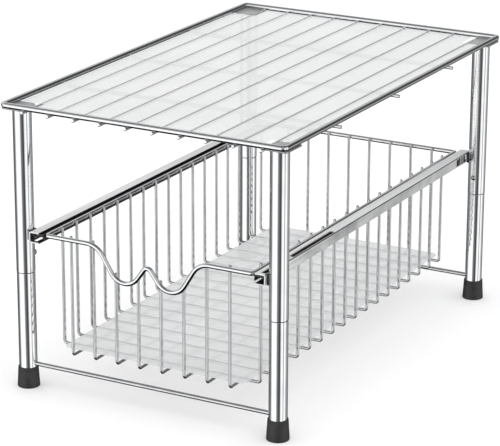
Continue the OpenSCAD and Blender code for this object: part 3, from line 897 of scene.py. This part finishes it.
@dataclass
class Shelf:
    """The wire shelf: rim rod, wires both ways, corner plates and the frosted liner."""

    rod_x: float = 156.5
    rod_y: float = 247.5
    rod_z: float = 298.0
    rod: RoundWire = RoundWire(6.0, sides=28, arc_step=9.0)
    rod_bend: float = 3.75
    wire: RoundWire = RoundWire(3.5, sides=20)
    wire_x: float = 132.75
    wire_count: int = 10
    wire_z: float = 293.35
    wire_end: float = 250.5
    cross_z: float = 289.95
    cross_pitch: float = 130.0
    plate_edge: float = 0.3
    liner_edge: float = 0.45

    def build(self, finishes: Finishes) -> None:
        """Makes and dresses the shelf's pieces.

        Args:
            finishes: Where the finishes come from.
        """
        fit(self.rim(), "frame", finishes.shelf_wire, "wire_chrome", "shelf_rim")
        fit(self.long_wires(), "frame", finishes.shelf_wire, "wire_chrome", "shelf_long_wires")
        fit(self.cross_wires(), "frame", finishes.shelf_wire, "wire_chrome", "shelf_cross_wires")
        mat = softened("shelf_liner", "frosted_shelf_mat", self.liner_edge, LINER_STEPS)
        lets_light_through(fit(mat, "frame", finishes.shelf_liner, "frosted_plastic", "shelf_liner"))
        for _, _, corner in all_corners():
            plate = softened(f"corner_plate_{corner}", f"{corner}_stamped_plate", self.plate_edge)
            fit(plate, "frame", finishes.plate, "plate_steel", f"corner_plate_{corner}")

    def rim(self) -> Piece:
        """The rim rod, one closed loop that starts in the middle of the front.

        Returns:
            The rod.
        """
        x, y, z = self.rod_x, self.rod_y, self.rod_z
        corners = [(0, -y, z), (x, -y, z), (x, y, z), (-x, y, z), (-x, -y, z), (0, -y, z)]
        return self.rod.bend("shelf_rim_rod", corners, [self.rod_bend] * 4, closed=True)

    def long_wires(self) -> Piece:
        """The wires from front to back, sheared at both ends.

        Returns:
            The wires.
        """
        ends = [(-self.wire_x, face.value * self.wire_end, self.wire_z) for face in Face]
        first = self.wire.bend("shelf_wire", ends, [])
        pitch = 2 * self.wire_x / (self.wire_count - 1)
        return repeated("shelf_wires_lengthwise", first, [(i * pitch, 0, 0) for i in range(1, self.wire_count)])

    def cross_wires(self) -> Piece:
        """The three cross wires under them, one of them in the middle.

        Returns:
            The wires.
        """
        ends = [(side.value * self.rod_x, 0, self.cross_z) for side in Side]
        first = self.wire.bend("shelf_cross", ends, [])
        return repeated("shelf_wires_crosswise", first, [(0, face.value * self.cross_pitch, 0) for face in Face])


# ---- slide


@dataclass
class Slide:
    """The rails with their saddles and stop blocks, and the basket's runners.

    facing, squarely and fold_turn say how far a face's normal leans the way asked, where 1 is straight; the rib span
    is the stretch of Y whose ribs get a painted highlight, and slack is how far a face may lie from where it is
    looked for.
    """

    rail_x: Pair = (122.2, 133.6)
    rail_z: Pair = (157.5, 168.9)
    rail_gauge: float = 1.2
    fold_turn: Pair = (0.35, 0.85)
    rubbed: Pair = (208.5, 220.5)
    rub_depth: float = 0.3
    slack: float = 0.25
    facing: float = 0.8
    squarely: float = 0.9
    rail_edge: float = 0.22
    runner_edge: float = 0.18
    plastic_edge: float = 0.2
    smooth_angle: float = 32.0

    def build(self, finishes: Finishes) -> None:
        """Softens the sheet and moulded parts and dresses them.

        Args:
            finishes: Where the finishes come from.
        """
        f = finishes
        for side in Side:
            word = side.word
            rail = self.crisp(f"rail_{word}", f"{word}_channel_rail", self.rail_edge, "frame", f.rail, "rail_chrome")
            self.grease(rail, side, f)
            self.crisp(f"runner_{word}", f"{word}_angle_runner", self.runner_edge, "basket", f.runner, "rail_chrome")
            stop = self.crisp(f"stop_block_{word}", f"{word}_ribbed_stop", self.plastic_edge, "frame", f.plastic,
                              "black_plastic")
            self.rub(stop, side, f.rib)
        self.crisp("rail_saddles", "moulded_saddles", self.plastic_edge, "frame", f.plastic, "black_plastic")

    def crisp(self, node: str, name: str, edge: float, body: str, material: Material, slot: str) -> Piece:
        """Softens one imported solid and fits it, with its folds kept crisp."""
        return fit(softened(node, name, edge), body, material, slot, node, smooth_angle=self.smooth_angle)

    def rub(self, stop: Piece, side: Side, finish: Material) -> None:
        """Gives the outer faces of a stop block's middle ribs a painted highlight.

        Args:
            stop: The stop block.
            side: The side it is on.
            finish: The lighter plastic that paints the highlight.
        """
        stop.data.materials.append(finish)
        reach = max(vertex.co.x * side.value for vertex in stop.data.vertices)
        for face in stop.data.polygons:
            middle = self.rubbed[0] * MM < face.center.y < self.rubbed[1] * MM
            outer = face.center.x * side.value > reach - self.rub_depth * MM
            if middle and outer and face.normal.x * side.value > self.squarely:
                face.material_index = 1

    def grease(self, rail: Piece, side: Side, finishes: Finishes) -> None:
        """Darkens a rail's inner faces and the crease of its upper fold with painted shade, and paints patchy shade
        on its outer wall.

        Args:
            rail: The rail.
            side: The side it is on.
            finishes: Where the finishes come from.
        """
        rail.data.materials.append(finishes.channel_shade)
        rail.data.materials.append(finishes.wall_shade)
        slack = self.slack
        web = self.rail_x[1] - self.rail_gauge - slack
        low, high = self.rail_z[0] + self.rail_gauge - slack, self.rail_z[1] - self.rail_gauge + slack
        for face in rail.data.polygons:
            x, z = face.center.x * side.value / MM, face.center.z / MM
            out, up = face.normal.x * side.value, face.normal.z
            # Painted shade goes on the inner faces, the channel's floor and roof and the crease of the fold.
            floor = low < z < low + 2 * slack and up > self.facing
            roof = high - 2 * slack < z < high and up < -self.facing
            crease = x > web and z > high and self.fold_turn[0] < up < self.fold_turn[1] and out > 0
            if out < -self.facing or floor or roof or crease:
                face.material_index = 1
            # Patchy painted shade goes on the faces that point squarely out of the outer wall.
            elif out > self.squarely and x > self.rail_x[1] - slack:
                face.material_index = 2


# ---- basket


@dataclass
class Basket:
    """The sliding wire basket: rim, scooped front wire, ribs both ways and the frosted liner."""

    rim: RoundWire = RoundWire(4.75, sides=26, arc_step=9.0, tip=Tip.FLUSH)
    rib: RoundWire = RoundWire(3.0, arc_step=11.0, tip=Tip.ROUNDED)
    rim_x: float = 116.825
    rim_front: float = -235.0
    rim_back: float = 233.5
    rim_z: float = 165.4
    rim_bend: float = 2.875
    return_length: float = 20.0
    rib_x: float = 113.05
    rib_front: float = -231.225
    rib_back: float = 229.725
    rib_bend: float = 3.0
    rib_proud: float = 0.9
    long_z: float = 42.4
    cross_z: float = 45.3
    cross_first: float = -211.3
    cross_pitch: float = 26.1
    cross_count: int = 17
    long_x: float = 90.125
    long_count: int = 8
    peak: Pair = (0.0, 153.9)
    scoop: Pair = (27.5, 116.3)
    shoulder: Pair = (57.6, 165.4)
    peak_bend: float = 4.8
    scoop_bend: float = 18.0
    shoulder_bend: float = 21.0
    liner_edge: float = 0.4

    def build(self, finishes: Finishes) -> None:
        """Makes and dresses the basket's pieces.

        Args:
            finishes: Where the finishes come from.
        """
        f = finishes
        fit(self.rim_wire(), "basket", f.shelf_wire, "basket_chrome", "basket_rim")
        fit(self.front_wire(), "basket", f.shelf_wire, "basket_chrome", "basket_front_wire")
        fit(self.long_wires(), "basket", f.basket_wire, "basket_chrome", "basket_long_wires")
        fit(self.cross_wires(), "basket", f.basket_wire, "basket_chrome", "basket_cross_wires")
        mat = softened("basket_liner", "frosted_basket_mat", self.liner_edge, LINER_STEPS)
        lets_light_through(fit(mat, "basket", f.basket_liner, "frosted_plastic", "basket_liner"))

    def rim_wire(self) -> Piece:
        """The rim's sides and back."""
        x, y, z, start = self.rim_x, self.rim_back, self.rim_z, self.rim_front + self.return_length
        return self.rim.bend("basket_rim_wire", [(-x, start, z), (-x, y, z), (x, y, z), (x, start, z)],
                             [self.rim_bend] * 2)

    def front_wire(self) -> Piece:
        """The front of the rim, dipped in two scoops.

        Returns:
            The wire.
        """
        x, y, z, end = self.rim_x, self.rim_front, self.rim_z, self.rim_front + self.return_length
        half = [self.peak, self.scoop, self.shoulder]
        left = [(-px, y, pz) for px, pz in half[:0:-1]]
        right = [(px, y, pz) for px, pz in half]
        bends = [self.rim_bend, self.shoulder_bend, self.scoop_bend]
        return self.rim.bend("basket_scooped_wire", [(-x, end, z), (-x, y, z), *left, *right, (x, y, z), (x, end, z)],
                             [*bends, self.peak_bend, *bends[::-1]])

    def front_height(self, x: float) -> float:
        """Height of the front wire's centre line.

        Args:
            x: Distance from the basket's middle, in millimetres.

        Returns:
            The height, in millimetres.
        """
        peak, scoop, shoulder = Vector(self.peak), Vector(self.scoop), Vector(self.shoulder)
        d = abs(x)
        low, low_in, low_out = rounded_corner(peak, scoop, shoulder, self.scoop_bend)
        high, high_in, _ = rounded_corner(scoop, shoulder, Vector((self.rim_x, self.rim_z)), self.shoulder_bend)
        if d >= high.x:
            return self.rim_z
        if d >= high_in.x:
            return high.y + math.sqrt(self.shoulder_bend ** 2 - (d - high.x) ** 2)
        if d >= low_out.x:
            return scoop.y + (shoulder.y - scoop.y) * (d - scoop.x) / (shoulder.x - scoop.x)
        if d >= low_in.x:
            return low.y - math.sqrt(self.scoop_bend ** 2 - (d - low.x) ** 2)
        return peak.y + (scoop.y - peak.y) * (d - peak.x) / (scoop.x - peak.x)

    def long_wires(self) -> Piece:
        """Lengthwise ribs: up behind the front wire, under the floor, up at the back.

        Returns:
            The ribs.
        """
        over = self.rim.diameter / 2 + self.rib_proud
        pitch = 2 * self.long_x / (self.long_count - 1)
        mirror = Matrix.Scale(-1, 4, (1, 0, 0))
        ribs = []
        for i in range(self.long_count // 2):
            x = self.long_x - i * pitch
            rib = self.rib.bend(f"long_rib_{i}", [
                (x, self.rib_front, self.front_height(x) + over), (x, self.rib_front, self.long_z),
                (x, self.rib_back, self.long_z), (x, self.rib_back, self.rim_z + over)], [self.rib_bend] * 2)
            ribs += [rib, copied(rib, f"long_rib_{i}_left", mirror)]
        return joined("basket_ribs_lengthwise", ribs)

    def cross_wires(self) -> Piece:
        """Crosswise ribs: down one side, across the floor, up the other.

        Returns:
            The ribs.
        """
        top = self.rim_z + self.rim.diameter / 2 + self.rib_proud
        x, y = self.rib_x, self.cross_first
        first = self.rib.bend("cross_rib", [(-x, y, top), (-x, y, self.cross_z), (x, y, self.cross_z), (x, y, top)],
                              [self.rib_bend] * 2)
        return repeated("basket_ribs_crosswise", first,
                        [(0, i * self.cross_pitch, 0) for i in range(1, self.cross_count)])


@dataclass
class CarriedNodes:
    """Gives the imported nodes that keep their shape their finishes."""

    finishes: Finishes

    def dress_all(self) -> None:
        """Dresses every node that still shows, by the start of its name."""
        f = self.finishes
        table = {
            "joint_plugs": f.zinc, "rail_screws": f.zinc, "front_roller_pins": f.zinc, "rear_roller_pins": f.zinc,
            "front_roller": f.plastic, "rear_roller": f.plastic, "runner_rivets": f.post,
        }
        for name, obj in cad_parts.items():
            if obj.hide_render:
                continue
            material = next(m for start, m in table.items() if name.startswith(start))
            obj.data.materials.clear()
            obj.data.materials.append(material)
            log.info("dressed %s with %s", name, material.name)


# ---- studio


class LightTent(NodeSketch):
    """The nodes of a new world, with grey ramps by elevation and by bearing."""

    def __init__(self, name: str) -> None:
        """Adds the world, and reckons where a ray goes along each kind of ramp.

        Args:
            name: The world's name.
        """
        self.world = bpy.data.worlds.new(name)
        self.world.use_nodes = True
        super().__init__(self.world.node_tree)
        away = self.add("ShaderNodeSeparateXYZ", Vector=self.add("ShaderNodeTexCoord").outputs["Generated"]).outputs
        turn = self.reckon("DIVIDE", self.reckon("ARCTAN2", away["Y"], away["X"]), 2 * math.pi)
        self.rise = self.reckon("MULTIPLY_ADD", away["Z"], 0.5, 0.5)
        self.around = self.reckon("ADD", turn, 0.5)

    def heights(self, *stops: Ring) -> Socket:
        """A ramp whose stops are at elevations in degrees."""
        return self.ramp(self.rise, [((math.sin(math.radians(angle)) + 1) / 2, level) for angle, level in stops])

    def bearings(self, *stops: Ring) -> Socket:
        """A ramp whose stops are at bearings from -180 to 180 degrees."""
        return self.ramp(self.around, [(angle / 360 + 0.5, level) for angle, level in stops])


@dataclass
class Studio:
    """Pale floor, soft light and the camera.

    room_level is the light that matt surfaces get from all round, and shadow_share is how much of the floor's own
    shading the camera sees.  Places are in metres, angles in degrees.
    """

    eye: Triple = (1.184491, -2.195761, 0.946412)
    heading: float = 118.504
    tilt_down: float = 18.373
    roll: float = 0.271
    lens: float = 178.903
    sensor: float = 36.0
    shift: Pair = (-0.01105, 0.02296)
    far_end: float = 100.0
    floor_size: float = 60.0
    floor_tones: tuple[Colour, Colour] = ((0.97, 0.97, 0.97), (0.98, 0.98, 0.98))
    floor_tone_scale: float = 2.0
    floor_roughness: float = 0.9
    shadow_share: float = 0.9
    room_level: float = 1.05
    lamp_place: Triple = (0.6, -0.9, 2.6)
    lamp_aim: Triple = (0.0, 0.0, 0.1)
    lamp_size: float = 3.0
    lamp_watts: float = 16.0

    def build(self) -> None:
        """Sets the view, the world, the floor, the lamp and the camera."""
        bpy.context.scene.view_settings.view_transform = "Standard"
        self.light_the_room()
        self.lay_the_floor()
        self.hang_the_lamp()
        self.set_the_camera()

    def light_the_room(self) -> None:
        """A light tent: plain for matt surfaces, panels and dark gaps for mirrors, white behind the object."""
        tent = LightTent("light_tent")
        bpy.context.scene.world = tent.world
        sky = tent.heights((-90, 0.0), (-40, 0.01), (-8, 0.04), (6, 0.2), (18, 0.34), (30, 0.56), (38, 0.58),
                           (50, 0.28), (62, 0.17), (90, 0.17))
        sky_share = tent.bearings((-180, 1.0), (40, 1.0), (52, 0.1), (90, 0.12), (112, 1.0), (180, 1.0))
        window = tent.heights((-90, 0), (-37, 0), (-28, 1), (10, 1), (24, 0.35), (36, 0), (90, 0))
        panels = tent.bearings((-180, 0.12), (-166, 0.16), (-152, 0.7), (-143, 1.25), (-90, 1.25), (-82, 0.5),
                               (-76, 0.2), (-61, 0.11), (-49, 0.02), (-44, 0.06), (-38, 0.4), (-32, 1.1),
                               (-9, 1.25), (-4, 0.35), (3, 0.35), (8, 1.25), (26, 1.2), (32, 0.0), (92, 0.0),
                               (120, 0.06), (180, 0.12))
        side_window = tent.heights((-90, 0), (-29, 0), (-21, 1), (-2, 1), (8, 0), (90, 0))
        side_panel = tent.bearings((-180, 0.0), (26, 0.0), (32, 0.9), (43, 0.38), (58, 0.4), (76, 0.3), (92, 0.0),
                                   (180, 0.0))
        back_window = tent.heights((-90, 0), (8, 0), (18, 1), (40, 0.8), (60, 0), (90, 0))
        back_panel = tent.bearings((-180, 0.1), (-140, 0.0), (60, 0.0), (80, 0.06), (105, 0.3), (150, 0.3),
                                   (180, 0.1))
        front_light = tent.reckon("MULTIPLY", window, panels)
        side_light = tent.reckon("MULTIPLY", side_window, side_panel)
        back_light = tent.reckon("MULTIPLY_ADD", back_window, back_panel, side_light)
        glow = tent.reckon("ADD", tent.reckon("MULTIPLY_ADD", sky, sky_share, front_light), back_light)
        rays = tent.add("ShaderNodeLightPath").outputs
        room = tent.reckon("MULTIPLY_ADD", rays["Is Glossy Ray"], tent.reckon("SUBTRACT", glow, self.room_level),
                           self.room_level)
        page = tent.reckon("MULTIPLY_ADD", rays["Is Camera Ray"], tent.reckon("SUBTRACT", 1.0, room), room)
        tent.feed_all(tent.tree.nodes["Background"], Color=page, Strength=1.0)

    def lay_the_floor(self) -> None:
        """A pale floor that keeps the soft shadow, lightened as on a lit table, and that mirrors don't see."""
        only()
        bpy.ops.mesh.primitive_plane_add(size=self.floor_size, location=(0, 0, 0))
        floor = bpy.context.object
        floor.name = "studio_floor"
        sketch = FinishSketch("studio_floor_white")
        tone = sketch.noise(self.floor_tone_scale)
        sketch.feed_all(sketch.shader, Base_Color=sketch.blend(tone, *self.floor_tones),
                        Roughness=self.floor_roughness, Specular_IOR_Level=0.0)
        glow = sketch.add("ShaderNodeEmission", Color=(1, 1, 1, 1), Strength=1.0)
        rays = sketch.add("ShaderNodeLightPath").outputs
        table = sketch.add("ShaderNodeMixShader",
                           Fac=sketch.reckon("MULTIPLY", rays["Is Camera Ray"], 1 - self.shadow_share))
        sketch.feed(table.inputs[1], sketch.shader.outputs[0])
        sketch.feed(table.inputs[2], glow.outputs[0])
        sketch.feed_all(sketch.tree.nodes["Material Output"], Surface=table.outputs[0])
        floor.data.materials.append(sketch.material)
        floor.visible_glossy = False

    def hang_the_lamp(self) -> None:
        """One broad soft lamp above the front."""
        data = bpy.data.lights.new("soft_box", "AREA")
        data.shape, data.size, data.size_y = "RECTANGLE", self.lamp_size, self.lamp_size
        data.energy = self.lamp_watts
        lamp = bpy.data.objects.new("soft_box", data)
        lamp.location = self.lamp_place
        lamp.rotation_euler = (Vector(self.lamp_aim) - lamp.location).to_track_quat("-Z", "Y").to_euler()
        lamp.visible_glossy = False
        bpy.context.scene.collection.objects.link(lamp)

    def set_the_camera(self) -> None:
        """The camera at its fitted place, heading and lens."""
        heading, tilt, roll = (math.radians(a) for a in (self.heading, self.tilt_down, self.roll))
        ahead = Vector((math.cos(heading) * math.cos(tilt), math.sin(heading) * math.cos(tilt), -math.sin(tilt)))
        right = Vector((math.sin(heading), -math.cos(heading), 0))
        up = right.cross(ahead)
        turned_right = right * math.cos(roll) + up * math.sin(roll)
        turned_up = up * math.cos(roll) - right * math.sin(roll)
        data = bpy.data.cameras.new("camera")
        data.sensor_width, data.lens, data.clip_end = self.sensor, self.lens, self.far_end
        data.shift_x, data.shift_y = self.shift
        camera = bpy.data.objects.new("camera", data)
        turn = Matrix((turned_right, turned_up, -ahead)).transposed().to_4x4()
        camera.matrix_world = Matrix.Translation(self.eye) @ turn
        bpy.context.scene.collection.objects.link(camera)
        bpy.context.scene.camera = camera


def main() -> None:
    """Builds the studio and the object's looks, and reports each piece."""
    logging.basicConfig(level=logging.INFO, format="%(name)s: %(message)s")
    Studio().build()
    finishes = Finishes()
    for part in (Posts(), Shelf(), Slide(), Basket()):
        part.build(finishes)
    CarriedNodes(finishes).dress_all()


if __name__ == "__main__":
    main()
